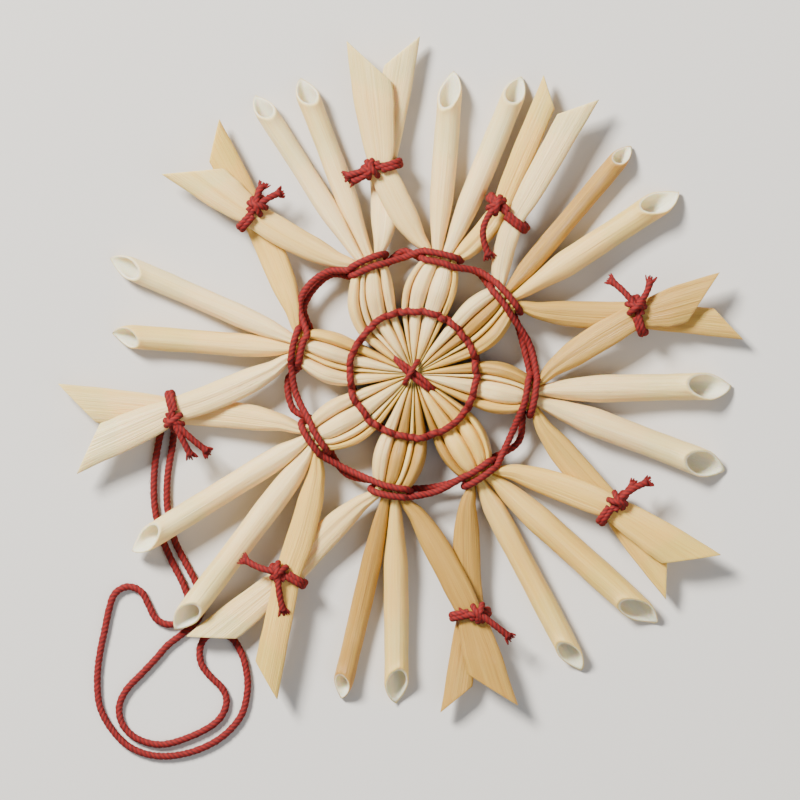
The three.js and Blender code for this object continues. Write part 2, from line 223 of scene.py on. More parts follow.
def finish_piece(bm, name, material, nodes, smooth=True):
    """Moves the finished mesh to its place in the frame, in metres, and stands it in for its solids."""
    bmesh.ops.transform(bm, matrix=Matrix.Translation(CENTRE) @ Matrix.Scale(MM, 4), verts=bm.verts)
    mesh = bpy.data.meshes.new(name)
    bm.to_mesh(mesh)
    bm.free()
    for polygon in mesh.polygons:
        polygon.use_smooth = smooth
    mesh.materials.append(material)
    piece = bpy.data.objects.new(name, mesh)
    bpy.context.scene.collection.objects.link(piece)
    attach(piece, "root")
    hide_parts(*nodes)
    return piece


print("helpers ready")

# %% [markdown]
# ## Shared finish: fibres
# Straw and thread both show fine fibres that run with the piece. The points carry a place measured on the
# straight, unbent piece, so one group can stretch its noise along the length and squeeze it around, and
# the streaks follow every bend. The group puts out three masks and a height, and each finish decides what
# to do with them.

# %% Fibre group
def group_with(name, inputs, outputs):
    group = bpy.data.node_groups.new(name, "ShaderNodeTree")
    for label, kind, value in inputs:
        socket = group.interface.new_socket(label, in_out="INPUT", socket_type=kind)
        if value is not None:
            socket.default_value = value
    for label, kind in outputs:
        group.interface.new_socket(label, in_out="OUTPUT", socket_type=kind)
    return group, group.nodes.new("NodeGroupInput"), group.nodes.new("NodeGroupOutput")


def add(tree, kind, **settings):
    """A node with its settings; keys that name a socket set its value, and socket values link."""
    node = tree.nodes.new(kind)
    for key, value in settings.items():
        if key.startswith("in_"):
            label = key[3:]
            socket = node.inputs[int(label) if label.isdigit() else label.replace("_", " ")]
            if isinstance(value, bpy.types.NodeSocket):
                tree.links.new(value, socket)
            else:
                socket.default_value = value
        else:
            setattr(node, key, value)
    return node


def make_fibres():
    group, source, out = group_with(
        "fibres",
        [
            ("Place", "NodeSocketVector", None),
            ("Around", "NodeSocketFloat", 6.0),
            ("Along", "NodeSocketFloat", 0.12),
        ],
        [("Streak", "NodeSocketFloat"), ("Broad", "NodeSocketFloat"), ("Fine", "NodeSocketFloat"),
         ("Height", "NodeSocketFloat")],
    )
    tree = group
    size = add(
        tree, "ShaderNodeCombineXYZ", in_0=source.outputs[1], in_1=source.outputs[1],
        in_2=source.outputs[2],
    )
    stretched = add(
        tree, "ShaderNodeVectorMath", operation="MULTIPLY", in_0=source.outputs[0], in_1=size.outputs[0],
    )
    streak = add(
        tree, "ShaderNodeTexNoise", in_Vector=stretched.outputs[0], in_Scale=1.0, in_Detail=5.0,
        in_Roughness=0.62,
    )
    broad = add(
        tree, "ShaderNodeTexNoise", in_Vector=stretched.outputs[0], in_Scale=0.28, in_Detail=3.0,
        in_Roughness=0.5,
    )
    thin = add(
        tree, "ShaderNodeVectorMath", operation="MULTIPLY", in_0=stretched.outputs[0],
        in_1=(2.7, 2.7, 0.45),
    )
    fine = add(
        tree, "ShaderNodeTexNoise", in_Vector=thin.outputs[0], in_Scale=1.0, in_Detail=2.0,
        in_Roughness=0.5,
    )
    both = add(
        tree, "ShaderNodeMath", operation="MULTIPLY_ADD", in_0=broad.outputs[0], in_1=0.6,
        in_2=streak.outputs[0],
    )
    ribbed = add(
        tree, "ShaderNodeMath", operation="MULTIPLY_ADD", in_0=fine.outputs[0], in_1=0.7,
        in_2=both.outputs[0],
    )
    tree.links.new(streak.outputs[0], out.inputs[0])
    tree.links.new(broad.outputs[0], out.inputs[1])
    tree.links.new(fine.outputs[0], out.inputs[2])
    tree.links.new(ribbed.outputs[0], out.inputs[3])
    return group


fibres = make_fibres()
print("group", fibres.name)


# %% [markdown]
# ## Bleached straw
# Bleached straw runs from cream to a warm tan. Its skin is smooth and a little glossy, with fine
# lengthwise ribs, and the pith inside is almost white. The tone of each straw is a number from 0 to 1
# written on its points.

# %% Straw finish
def make_straw_finish():
    material = bpy.data.materials.new("bleached_straw")
    material.use_nodes = True
    tree = material.node_tree
    shader = tree.nodes["Principled BSDF"]
    place = add(tree, "ShaderNodeAttribute", attribute_name="grain").outputs["Vector"]
    tone = add(tree, "ShaderNodeAttribute", attribute_name="tone").outputs["Fac"]
    inside = add(tree, "ShaderNodeAttribute", attribute_name="inside").outputs["Fac"]
    fibre = add(tree, "ShaderNodeGroup", node_tree=fibres, in_Place=place, in_Around=5.0, in_Along=0.10)
    ramp = add(tree, "ShaderNodeValToRGB")
    drift = add(
        tree, "ShaderNodeMath", operation="MULTIPLY_ADD", in_0=fibre.outputs["Broad"], in_1=0.36,
        in_2=-0.18,
    )
    toned = add(tree, "ShaderNodeMath", operation="ADD", in_0=tone, in_1=drift.outputs[0], use_clamp=True)
    tree.links.new(toned.outputs[0], ramp.inputs[0])
    stops = ramp.color_ramp.elements
    stops[0].position, stops[0].color = 0.0, (0.95, 0.735, 0.39, 1)
    stops[1].position, stops[1].color = 1.0, (0.47, 0.262, 0.042, 1)
    middle = stops.new(0.45)
    middle.color = (0.83, 0.55, 0.13, 1)
    streaks = add(
        tree, "ShaderNodeMapRange", in_0=fibre.outputs["Streak"], in_1=0.33, in_2=0.66, in_3=0.74,
        in_4=1.06,
    )
    ribs = add(
        tree, "ShaderNodeMapRange", in_0=fibre.outputs["Fine"], in_1=0.30, in_2=0.55, in_3=0.80, in_4=1.0,
    )
    lines = add(tree, "ShaderNodeMath", operation="MULTIPLY", in_0=streaks.outputs[0], in_1=ribs.outputs[0])
    deeper = add(tree, "ShaderNodeGamma", in_0=ramp.outputs[0], in_1=1.9)
    lined = add(
        tree, "ShaderNodeMix", data_type="RGBA", in_0=lines.outputs[0], in_6=deeper.outputs[0],
        in_7=ramp.outputs[0],
    )
    lined.clamp_factor = True
    squeezed = add(tree, "ShaderNodeVectorMath", operation="MULTIPLY", in_0=place, in_1=(1.1, 1.1, 0.22))
    marks = add(
        tree, "ShaderNodeTexNoise", in_Vector=squeezed.outputs[0], in_Scale=1.0, in_Detail=4.0,
        in_Roughness=0.7,
    )
    mark = add(tree, "ShaderNodeMapRange", in_0=marks.outputs[0], in_1=0.66, in_2=0.76, in_3=0.0, in_4=0.55)
    marked = add(
        tree, "ShaderNodeMix", data_type="RGBA", in_0=mark.outputs[0], in_6=lined.outputs[2],
        in_7=(0.50, 0.30, 0.11, 1),
    )
    pith = add(
        tree, "ShaderNodeMix", data_type="RGBA", in_0=inside, in_6=marked.outputs[2],
        in_7=(0.97, 0.83, 0.60, 1),
    )
    tree.links.new(pith.outputs[2], shader.inputs["Base Color"])
    gloss = add(
        tree, "ShaderNodeMapRange", in_0=fibre.outputs["Streak"], in_1=0.3, in_2=0.7, in_3=0.36, in_4=0.56,
    )
    tree.links.new(gloss.outputs[0], shader.inputs["Roughness"])
    bump = add(
        tree, "ShaderNodeBump", in_Strength=0.55, in_Distance=0.00025, in_Height=fibre.outputs["Height"],
    )
    tree.links.new(bump.outputs[0], shader.inputs["Normal"])
    shader.inputs["Specular IOR Level"].default_value = 0.5
    glow = add(tree, "ShaderNodeMapRange", in_0=inside, in_3=0.35, in_4=0.6)
    tree.links.new(glow.outputs[0], shader.inputs["Subsurface Weight"])
    shader.inputs["Subsurface Radius"].default_value = (1.0, 0.55, 0.22)
    shader.inputs["Subsurface Scale"].default_value = 0.0012
    return material


straw_finish = make_straw_finish()
print("finish", straw_finish.name)

# %% [markdown]
# ## Red thread
# The thread is cotton in three twisted plies. The plies are real shape, so the finish only adds the fine
# fibres of each ply, a soft sheen of loose fibre, and painted shade that darkens the red in the grooves.

# %% Thread finish
def make_thread_finish():
    material = bpy.data.materials.new("red_thread")
    material.use_nodes = True
    tree = material.node_tree
    shader = tree.nodes["Principled BSDF"]
    place = add(tree, "ShaderNodeAttribute", attribute_name="grain").outputs["Vector"]
    painted_groove_shade = add(tree, "ShaderNodeAttribute", attribute_name="inside").outputs["Fac"]
    fibre = add(tree, "ShaderNodeGroup", node_tree=fibres, in_Place=place, in_Around=14.0, in_Along=1.6)
    # Painted shade: the groove between plies pushes the red darker, on top of the random fibre streaks.
    depth = add(
        tree, "ShaderNodeMath", operation="MULTIPLY_ADD", in_0=painted_groove_shade, in_1=0.55,
        in_2=fibre.outputs["Streak"],
    )
    ramp = add(tree, "ShaderNodeValToRGB", in_0=depth.outputs[0])
    stops = ramp.color_ramp.elements
    # The dark end of this ramp is painted groove shade, mixed with darker fibre streaks.
    stops[0].position, stops[0].color = 0.35, (0.31, 0.003, 0.001, 1)
    stops[1].position, stops[1].color = 1.0, (0.07, 0.001, 0.001, 1)
    tree.links.new(ramp.outputs[0], shader.inputs["Base Color"])
    bump = add(
        tree, "ShaderNodeBump", in_Strength=0.5, in_Distance=0.0001, in_Height=fibre.outputs["Height"],
    )
    tree.links.new(bump.outputs[0], shader.inputs["Normal"])
    shader.inputs["Roughness"].default_value = 0.78
    shader.inputs["Sheen Weight"].default_value = 0.02
    shader.inputs["Sheen Roughness"].default_value = 0.5
    shader.inputs["Sheen Tint"].default_value = (1.0, 0.30, 0.22, 1)
    return material


thread_finish = make_thread_finish()
print("finish", thread_finish.name)


# %% [markdown]
# ## Twisted thread
# A thread is swept like a straw, but its section is three round plies and it turns as it goes, one turn
# for every two millimetres or so. The groove between plies is written on the points, and the finish paints
# shade into it.

# %% Sweep a twisted thread along points
THREAD_SIDES = 15
PLY_DEPTH = 0.14


def even_points(points, step, closed):
    """The same line with points a step apart."""
    line = np.array([tuple(p) for p in points], dtype=float)
    if closed:
        line = np.vstack([line, line[:1]])
    gaps = np.linalg.norm(np.diff(line, axis=0), axis=1)
    knots = np.concatenate([[0], np.cumsum(gaps)])
    count = max(3, round(knots[-1] / step))
    at = np.linspace(0, knots[-1], count + 1)
    if closed:
        at = at[:-1]
    return np.stack([np.interp(at, knots, line[:, c]) for c in range(3)], axis=1), knots[-1]


def curve_through(points, closed, dense=24):
    """A round line through a few points, by way of a bow between each pair of them."""
    pts = np.array([tuple(p) for p in points], dtype=float)
    n = len(pts)
    rows = []
    spans = n if closed else n - 1
    for i in range(spans):
        if closed:
            a, b, c, d = pts[(i - 1) % n], pts[i], pts[(i + 1) % n], pts[(i + 2) % n]
        else:
            a, b, c, d = pts[max(i - 1, 0)], pts[i], pts[i + 1], pts[min(i + 2, n - 1)]
        for k in range(dense):
            t = k / dense
            rows.append(
                0.5 * (
                    2 * b + (c - a) * t
                    + (2 * a - 5 * b + 4 * c - d) * t**2
                    + (3 * b - a - 3 * c + d) * t**3
                )
            )
    if not closed:
        rows.append(pts[-1])
    return rows


def twisted_thread(points, radius, closed=False, lay=1.7, step=0.17, seed=0, taper=0.0, flare=0.0):
    """Rings and facts of a three-ply thread along the points, in millimetres, and the line it follows."""
    line, length = even_points(points, step, closed)
    n = len(line)
    ahead = np.roll(line, -1, axis=0) - np.roll(line, 1, axis=0)
    if not closed:
        ahead[0] = line[1] - line[0]
        ahead[-1] = line[-1] - line[-2]
    ahead /= np.linalg.norm(ahead, axis=1)[:, None]
    side = np.cross(ahead[0], (0, 0, 1) if abs(ahead[0][2]) < 0.9 else (1, 0, 0))
    rng = random.Random(seed)
    phase = rng.uniform(0, 6.28)
    sides = np.arange(THREAD_SIDES) * 2 * math.pi / THREAD_SIDES
    lobes = np.abs(np.cos(1.5 * sides))
    reach = 1 - PLY_DEPTH * (1 - lobes)
    turns = round(length / lay) if closed else length / lay
    closing = 0.0
    frames = []
    for i in range(n):
        side = side - ahead[i] * np.dot(side, ahead[i])
        side /= np.linalg.norm(side)
        frames.append((side, np.cross(ahead[i], side)))
    if closed:
        first, second = frames[0]
        back = frames[-1][0] - ahead[0] * np.dot(frames[-1][0], ahead[0])
        closing = math.atan2(np.dot(back, second), np.dot(back, first))
    rings, facts = [], []
    for i in range(n):
        share = i / n
        a = sides + phase + 2 * math.pi * turns * share - closing * share
        swell = 1 + 0.035 * math.sin(9 * share * turns + phase)
        end = 1.0
        if taper and not closed:
            near = min(i, n - 1 - i) * step
            end = min(1.0, 1 - taper + taper * near / 0.5)
        if flare:
            end *= 1 + flare * max(0.0, 1 - (n - 1 - i) * step / 1.2) ** 2
        r = radius * swell * end * reach
        u, v = frames[i]
        rings.append(line[i] + np.outer(np.cos(a) * r, u) + np.outer(np.sin(a) * r, v))
        along = np.full(THREAD_SIDES, i * step + phase * 7)
        grain = np.stack([np.cos(sides) * radius, np.sin(sides) * radius, along], axis=1)
        # The third fact is the groove between plies, where the thread finish paints shade.
        facts.append((grain, 0.0, 1 - lobes))
    return rings, facts, line


print("thread sweeps ready")

# %% [markdown]
# ## The hanging loop
# One limp thread leaves a tie, runs out over the table, folds back on itself under a straw tip and
# returns beside its own outward run. It is the only free cord, so it is made first, along the same route
# as its solid.

# %% Route of the hanging loop, in millimetres from the middle of the star
LOOP_PATH = [
    (-29.8, -5.2), (-30.5, -8), (-31.1, -12.1), (-31, -16.2), (-30.1, -19.8), (-28.8, -22.8),
    (-27.6, -25.2), (-27, -27.4), (-27.6, -29.2), (-29.2, -29.95), (-30.85, -29.3),
    (-31.75, -27.65), (-32.65, -26.05), (-34.25, -25.45), (-35.8, -26.3), (-36.5, -28.2),
    (-37, -30.6), (-37.6, -33.5), (-37.9, -36.5), (-37.6, -39.7), (-36.2, -42.4), (-33.9, -44.6),
    (-30.6, -45.6), (-26.7, -45.1), (-23.2, -43.4), (-20.8, -40.8), (-20, -37.7), (-20.2, -35),
    (-20.9, -32.9), (-22, -31.4), (-23.6, -30.85), (-25.1, -31.55), (-25.7, -33.1),
    (-25.4, -34.8), (-24.3, -36.2), (-23, -37.5), (-22.5, -39.2), (-23.5, -41.3), (-26.2, -43),
    (-30, -44.2), (-33, -43.6), (-34.8, -42), (-35.3, -39.8), (-34.4, -37.7), (-32.6, -35.8),
    (-30.9, -34), (-29.5, -32.4), (-27.7, -31), (-26, -29.5), (-25.3, -27.5), (-26.1, -25),
    (-27.4, -22.5), (-28.7, -19.8), (-29.5, -16.2), (-29.5, -12.4), (-28.9, -8.6), (-28.6, -5.8),
]
loop_line = curve_through([(x, y, CORD_Z) for x, y in LOOP_PATH], closed=False)


# %% Join several swept threads into one piece
def thread_piece(name, strands, node):
    """strands are (rings, facts, closed) from twisted_thread; together they stand for one solid."""
    whole = bmesh.new()
    for rings, facts, closed in strands:
        part = skin_along(rings, facts, len(rings[0]), closed)
        scrap = bpy.data.meshes.new("scrap")
        part.to_mesh(scrap)
        part.free()
        whole.from_mesh(scrap)
        bpy.data.meshes.remove(scrap)
    return finish_piece(whole, name, thread_finish, [node])


def strand(points, radius, closed=False, **more):
    rings, facts, _ = twisted_thread(points, radius, closed, **more)
    return rings, facts, closed


def fluff(points, radius, seed, every=0.7):
    """Single fibres that have worked loose from a thread: each leaves the surface and curls away."""
    rng = random.Random(900 + seed)
    line, length = even_points(points, 0.1, False)
    around = np.arange(3) * 2 * math.pi / 3
    hairs = []
    for _ in range(int(length / every)):
        i = rng.randrange(2, len(line) - 3)
        ahead = line[i + 1] - line[i - 1]
        ahead = ahead / np.linalg.norm(ahead) * rng.choice((-1, 1))
        away = np.cross(ahead, np.array([rng.gauss(0, 1) for _ in range(3)]))
        away /= np.linalg.norm(away)
        curl = np.cross(ahead, away) * rng.uniform(-0.5, 0.5)
        if away[2] < -0.3:
            continue
        reach = rng.uniform(0.25, 0.75)
        rings, facts = [], []
        for t in (0, 0.35, 0.7, 1):
            off = away * radius * (0.85 + 0.9 * reach * t)
            spot = line[i] + off + ahead * reach * t + curl * reach * t * t
            thin = 0.022 * (1.15 - t)
            rings.append(spot + np.outer(np.cos(around) * thin, away) + np.outer(
                np.sin(around) * thin, curl + ahead,
            ))
            grain = np.stack([np.cos(around), np.sin(around), np.full(3, t + i)], axis=1)
            facts.append((grain, 0.0, np.zeros(3)))
        hairs.append((rings, facts, False))
    return hairs


hanger = thread_piece(
    "hanging_loop_thread", [strand(loop_line, CORD_R, seed=3), *fluff(loop_line, CORD_R, 3)],
    "hanging_loop",
)
print("made", hanger.name)


# %% [markdown]
# ## Stations along each straw
# Each half of a straw is described by a few stations from the middle outwards: place, height, width,
# thickness, how flat the section is, and how deep the lengthwise creases are. A smooth line then runs
# through the stations.

# %% Stations
def lane(k, m, evened=0.0):
    """How far an arm's middle is from the middle of its bunch, and its width, both in even arms."""
    shares = [mix(share, 1, evened) for share in SHARES[k]]
    shares = [4 * share / sum(shares) for share in shares]
    return sum(shares[:m]) + shares[m] / 2 - 2, shares[m]


def inner_rows(k, m):
    node, ideal = BUNCHES[k]["at"], 45 * k - 9
    lean = math.cos(math.radians(2 * (node - ideal)))
    low = MID_Z - 0.03 * ((4 * k + m) % 16)
    off, share = lane(k, m)
    even_off, even_share = lane(k, m, 0.6)
    z = MID_Z + 0.45 * (share - 1)

    def by_bearing(r, pitch):
        return polar(ideal + off * pitch, r)

    def on_arc(r, at_node, spacing):
        bearing = mix(ideal, node, at_node)
        return polar(bearing, r) + polar(bearing + 90, off * spacing)

    root = polar(node, NODE_R) + polar(node + 90, even_off * 0.92)
    return [
        (*by_bearing(1.1, 11.0), low, 0.24 * share, 2.9, 0.6, 0.0),
        (*by_bearing(3.3, 11.0), z, 0.66 * share, 3.3, 0.75, 0.02),
        (*by_bearing(5.4, 10.6), z, 0.97 * share, 3.4, 0.6, 0.05),
        (*by_bearing(RING_R, 10.2), mix(MID_Z, z, 0.5), 1.27 * lean * share, 3.0, 0.55, 0.10),
        (*on_arc(BULGE_R, 0.45, 1.5), z, 1.62 * lean * share, 4.1, 0.35, 0.05),
        (*on_arc(NECK_R, 0.85, 1.24), mix(MID_Z, z, 0.5), 1.34 * lean * share, 3.7, 0.35, 0.07),
        (*root, MID_Z, 0.95 * even_share, 2.9, 0.5, 0.12),
    ]


def tube_rows(k, m):
    rows = inner_rows(k, m)
    root = Vector(rows[-1][:2])
    pair = [polar(*tube[:2]) for tube in BUNCHES[k]["tubes"]]
    tip, d = pair[m - 1], BUNCHES[k]["tubes"][m - 1][2]
    spread = (pair[0] - pair[1]).length
    rest = d / 2 + (TUBE_LIFT if k == 5 else 0)
    for t in (0.09, 0.18, 0.36, TUBE_DOWN_AT, 0.8, 1.0):
        w = min(d, 0.96 * mix(0.95, spread, t))
        p = root.lerp(tip, t)
        crease = max(0, 0.12 - 0.4 * t)
        h = mix(2.9, d, min(1, t * 3))
        rows.append((*p, mix(MID_Z, rest, min(1, t / TUBE_DOWN_AT)), w, h, max(0, 0.4 - 2 * t), crease))
    return rows


def side_rows(k, m):
    rows = inner_rows(k, m)
    root = Vector(rows[-1][:2])
    over = m == 3
    sign = 1 if over else -1
    tie = TIES[k if over else (k + 7) % 8]
    side = tie.get("side", 0)
    crossing = polar(tie["at"], tie["r"]) + polar(tie["at"] - 90, sign * side)
    tie_z = MID_Z + sign * TIE_LIFT
    slim = tie.get("slim", TIE_W)
    tie_w = slim if side else TIE_W
    bearing, reach, w = tie["over" if over else "under"]
    tip = polar(bearing, reach) + polar(bearing + 90, 0 if side else -sign * w / 2)
    bow = polar(BUNCHES[k]["at"] + 90, sign * 0.5)

    def along(t):
        return root.lerp(crossing, t) + bow * (4 * t * (1 - t))

    rows += [
        (*along(0.2), MID_Z, 2.1, 2.7, 0.3, 0.10),
        (*along(0.42), MID_Z + sign * 0.35, 2.5 if side else 3.1, 2.1, 0.15, 0.05),
        (*along(0.72), MID_Z + sign * 0.72, 2.6 if side else 3.3, 1.4, 0.3, 0.06),
        (*crossing, tie_z, tie_w - 0.1, TIE_H, 0.6, 0.16),
        (*crossing.lerp(tip, 0.15), tie_z, mix(tie_w, w, 0.35), FLAT_H, 0.8, 0.12),
        (*crossing.lerp(tip, 0.5), tie_z, mix(tie_w, w, 0.85), FLAT_H, 0.9, 0.06),
        (*tip, tie_z - sign * 0.15, w, FLAT_H * 0.9, 1.0, 0.03),
    ]
    return rows


print("stations in one round half", len(tube_rows(0, 1)), "and one flat half", len(side_rows(0, 3)))

# %% [markdown]
# ## Cross-sections and cut ends
# A round straw is cut at a slant, so from above one looks into the white bore. A flattened straw is cut
# across its width and ends in a point on its outer side. Both cuts slide the points of the last rings
# along the straw, less and less with distance from the end, so that no ring runs through the next.

# %% Rings of one straw
STRAW_SIDES = 28
STRAW_STEP = 0.55
FADE = 9.0


def straw_rings(k, m, number):
    rng = random.Random(number)
    round_ends = m in (1, 2)
    half = tube_rows if round_ends else side_rows
    out_rows, back_rows = half(k, m), half(k + 4, m)
    middle = (0.0, 0.0, MID_Z - 0.03 * number, 0.2, 2.7, 0.5, 0.0)
    along, rows = smooth_rows(back_rows[::-1] + [middle] + out_rows, STRAW_STEP)
    total = along[-1]
    half_way = along[np.argmin(np.hypot(rows[:, 0], rows[:, 1]))]
    run = np.gradient(rows[:, :2], along, axis=0)
    run /= np.linalg.norm(run, axis=1)[:, None]
    around = np.arange(STRAW_SIDES) * 2 * math.pi / STRAW_SIDES
    c, s = np.cos(around), np.sin(around)
    drift, phase, offset = rng.uniform(-0.2, 0.2), rng.uniform(0, 6.28), 60 * number
    tone_out, tone_back = BUNCHES[k]["tones"][m], BUNCHES[k + 4]["tones"][m]
    sign = 1 if m == 3 else -1
    cuts = [(rng.uniform(*TUBE_CUTS), rng.uniform(-0.55, 0.55)) for _ in range(2)]
    ribs = [(rng.randrange(5, 10), rng.uniform(0, 6.28), rng.uniform(0.3, 1)) for _ in range(3)]

    def ring_at(i, wall=0.0, inward=0.0, inset=0.0):
        """One ring at fine row i, moved in by wall and down the straw by inward; inset rounds the rim."""
        x, y, z, w, h, flat, crease = rows[i]
        d = run[i]
        left = np.array((-d[1], d[0]))
        ripple = 1 + 0.02 * math.sin(along[i] * 0.45 + phase) + 0.008 * math.sin(along[i] * 1.3 + 2 * phase)
        shrink = wall + inset
        wide = max(0.1, w * ripple - 2 * shrink)
        tall = max(0.1, h - 2 * shrink)
        power = mix(1.0, 0.62, flat)
        across = wide / 2 * np.sign(c) * np.abs(c) ** power
        up = tall / 2 * np.sign(s) * np.abs(s) ** power
        if wall == 0:
            spot = (across / wide - drift) / 0.10
            second = (across / wide + 0.23 + drift) / 0.07
            dent = crease * min(tall, 2.2) * (np.exp(-spot**2) + 0.6 * np.exp(-second**2))
            up = up - np.sign(s) * dent * np.abs(s)
            rib = sum(size * np.cos(count * around + turn) for count, turn, size in ribs)
            up = up + 0.011 * min(w, 3) * rib * np.abs(s)
        if not round_ends:
            up = up - 0.25 * flat * (2 * across / wide) ** 2 * min(1.0, w / 3)
        outward = 1 if along[i] > half_way else -1
        gap = total - along[i] if outward == 1 else along[i]
        fade = max(0.0, 1 - gap / FADE)
        bunch = k if outward == 1 else k + 4
        if round_ends:
            slant, roll = cuts[outward > 0]
            facing = up * math.cos(roll) + across * math.sin(roll)
            slide = -slant * (facing + h / 2) * fade
            from_tip = np.maximum(gap - slide, 0.0)
            across = across * np.minimum(1, (from_tip + 0.02) / 2.4) ** (0.34 * fade**2)
            up = up + 0.35 * fade**6
        else:
            tie = TIES[bunch if m == 3 else (bunch + 7) % 8]
            long_side = sign * (-1 if "side" in tie else 1)
            slide = -TIP_CUT * (w / 2 - across * outward * long_side) * fade
        slide = (slide - inward) * outward
        place = np.empty((STRAW_SIDES, 3))
        place[:, 0] = x + d[0] * slide + left[0] * across
        place[:, 1] = y + d[1] * slide + left[1] * across
        place[:, 2] = np.maximum(z + up, 0.0)
        grain = np.stack([c * 1.6, s * 1.6, np.full(STRAW_SIDES, along[i] + offset) + slide], axis=1)
        share = min(1.0, max(0.0, (along[i] - half_way) / 12 + 0.5))
        tone = mix(tone_back, tone_out, share) + 0.03 * math.sin(along[i] * 0.3 + phase)
        return place, (grain, tone, np.full(STRAW_SIDES, 1.0 if wall > 0 else 0.0))

    last = len(rows) - 1
    wall = TUBE_WALL if round_ends else FLAT_WALL
    depth = TUBE_BORE if round_ends else FLAT_BORE
    near = round(depth / STRAW_STEP)
    bore = [ring_at(i, wall) for i in range(near, 1, -2)]
    start = bore + [
        ring_at(0, wall, 0.06), ring_at(0, wall - 0.04), ring_at(0, 0, 0, 0.03), ring_at(0, 0, 0.06),
    ]
    body = [ring_at(i) for i in range(1, last)]
    end = [
        ring_at(last, 0, 0.06), ring_at(last, 0, 0, 0.03), ring_at(last, wall - 0.04),
        ring_at(last, wall, 0.06),
    ]
    bore_end = [ring_at(i, wall) for i in range(last - 2, last - near - 1, -2)]
    made = start + body + end + bore_end
    return [ring for ring, _ in made], [fact for _, fact in made]


tubes = crossed = 0
for number in range(16):
    k, m = divmod(number, 4)
    rings, facts = straw_rings(k, m, number)
    if m in (1, 2):
        tubes += 1
        name = f"tube_straw_{tubes}"
    else:
        crossed += 1
        name = f"crossed_straw_{crossed}"
    finish_piece(
        skin_along(rings, facts, STRAW_SIDES), name.replace("straw", "skin"), straw_finish, [name],
    )
print("round straws", tubes, "flat-ended straws", crossed)

# %% [markdown]
# ## Thread at the middle and the inner ring
# The inner ring rides over every straw and dips between them, above and below, and the two runs meet
# through the gaps between bunches. The waist stitch is two turns of thread over the middle with a short
# one across it.

# %% Inner ring
def inner_ring_run(sign):
    """Over the crown of every arm and down into the furrow after it, seen from above or from below."""
    rng = random.Random(7)
    points = []
    for k in range(8):
        for m in range(4):
            off, share = lane(k, m)
            at, edge = 45 * k - 9 + off * 10.2, 45 * k - 9 + (off + share / 2) * 10.2
            crown = sign * (1.42 + 0.22 * (share - 1) * sign + RING_THREAD_R)
            out = RING_R + rng.uniform(-0.14, 0.14)
            points.append((*polar(at - 2.6 * share, out), MID_Z + crown))
            points.append((*polar(at + 2.6 * share, out), MID_Z + crown))
            dip = 1.15 if m == 3 else 0.42
            points.append((
                *polar(edge + (2.1 if m == 3 else 0), RING_R + 0.02), MID_Z + crown - sign * dip,
            ))
    return curve_through(points, closed=True, dense=8)


def short_link(bearing, radius, reach):
    x, y = polar(bearing, radius)
    return [(x, y, MID_Z - reach), (x + 0.03, y, MID_Z), (x, y, MID_Z + reach)]


ring_strands = [strand(inner_ring_run(s), RING_THREAD_R * 0.97, closed=True, seed=11 + s) for s in (1, -1)]
ring_strands += fluff(inner_ring_run(1), RING_THREAD_R, 11)
ring_strands += [
    strand(short_link(45 * k + 13.5, RING_R, 1.3), LINK_THREAD_R, seed=30 + k) for k in range(8)
]
thread_piece("inner_ring", ring_strands, "inner_ring_thread")


# %% Waist stitch
def stitch_turn(bearing, half, height, shift, seed):
    along, aside = polar(bearing, 1), polar(bearing + 90, 1)
    points = []
    for i in range(40):
        a = 2 * math.pi * i / 40
        x = math.copysign(abs(math.cos(a)) ** 0.6, math.cos(a))
        z = math.copysign(abs(math.sin(a)) ** 0.45, math.sin(a)) * height
        spread = shift * (1 - 0.75 * x * x)
        points.append((
            along.x * x * half + aside.x * spread, along.y * x * half + aside.y * spread, MID_Z + z,
        ))
    return strand(curve_through(points, closed=True, dense=6), STITCH_THREAD_R, closed=True, seed=seed)


def bar(bearing, half, height, seed):
    along = polar(bearing, 1)
    start = polar(140, 0.35)
    points = []
    for t in (-1.1, -1, -0.5, 0, 0.5, 1, 1.1):
        drop = 0.68 * t * t + (0.8 if abs(t) > 1 else 0)
        points.append((start.x + along.x * t * half, start.y + along.y * t * half, MID_Z + height - drop))
    return strand(curve_through(points, closed=False), STITCH_THREAD_R, seed=seed)


thread_piece(
    "waist_stitching",
    [stitch_turn(-38, 3.0, 1.95, 0.30, 41), stitch_turn(-41, 2.8, 1.9, -0.32, 42), bar(59, 1.4, 2.48, 43)],
    "waist_stitch",
)
print("middle sewn")

# %% [markdown]
# ## The outer ring
# A long thread goes round each bunch of four straws once, crosses to the next bunch and so on, and a
# second one follows it underneath. From above there are two turns on each bunch and two loose runs
# between bunches.

# %% Outer ring
def round_the_bunches(places, which):
    points = []
    for k, bunch in enumerate(BUNCHES):
        here = polar(bunch["at"], NODE_R)
        out, aside = polar(bunch["at"], 1), polar(bunch["at"] + 90, 1)
        for u, v, z in places:
            p = here + out * u + aside * v
            points.append((p.x, p.y, MID_Z + z))
        onward = BUNCHES[(k + 1) % 8]
        last = here + aside * 2.6
        following = polar(onward["at"], NODE_R) - polar(onward["at"] + 90, 1) * 2.6
        slack = bunch["slack"][which]
        for t in (0.2, 0.5, 0.8) if abs(slack) > 1 else (0.5,):
            spot = last.lerp(following, t)
            spot += spot.normalized() * slack * (1 if t == 0.5 else 0.72)
            points.append((*spot, MID_Z + 0.5 - 1.3 * which))
    return curve_through(points, closed=True, dense=10)


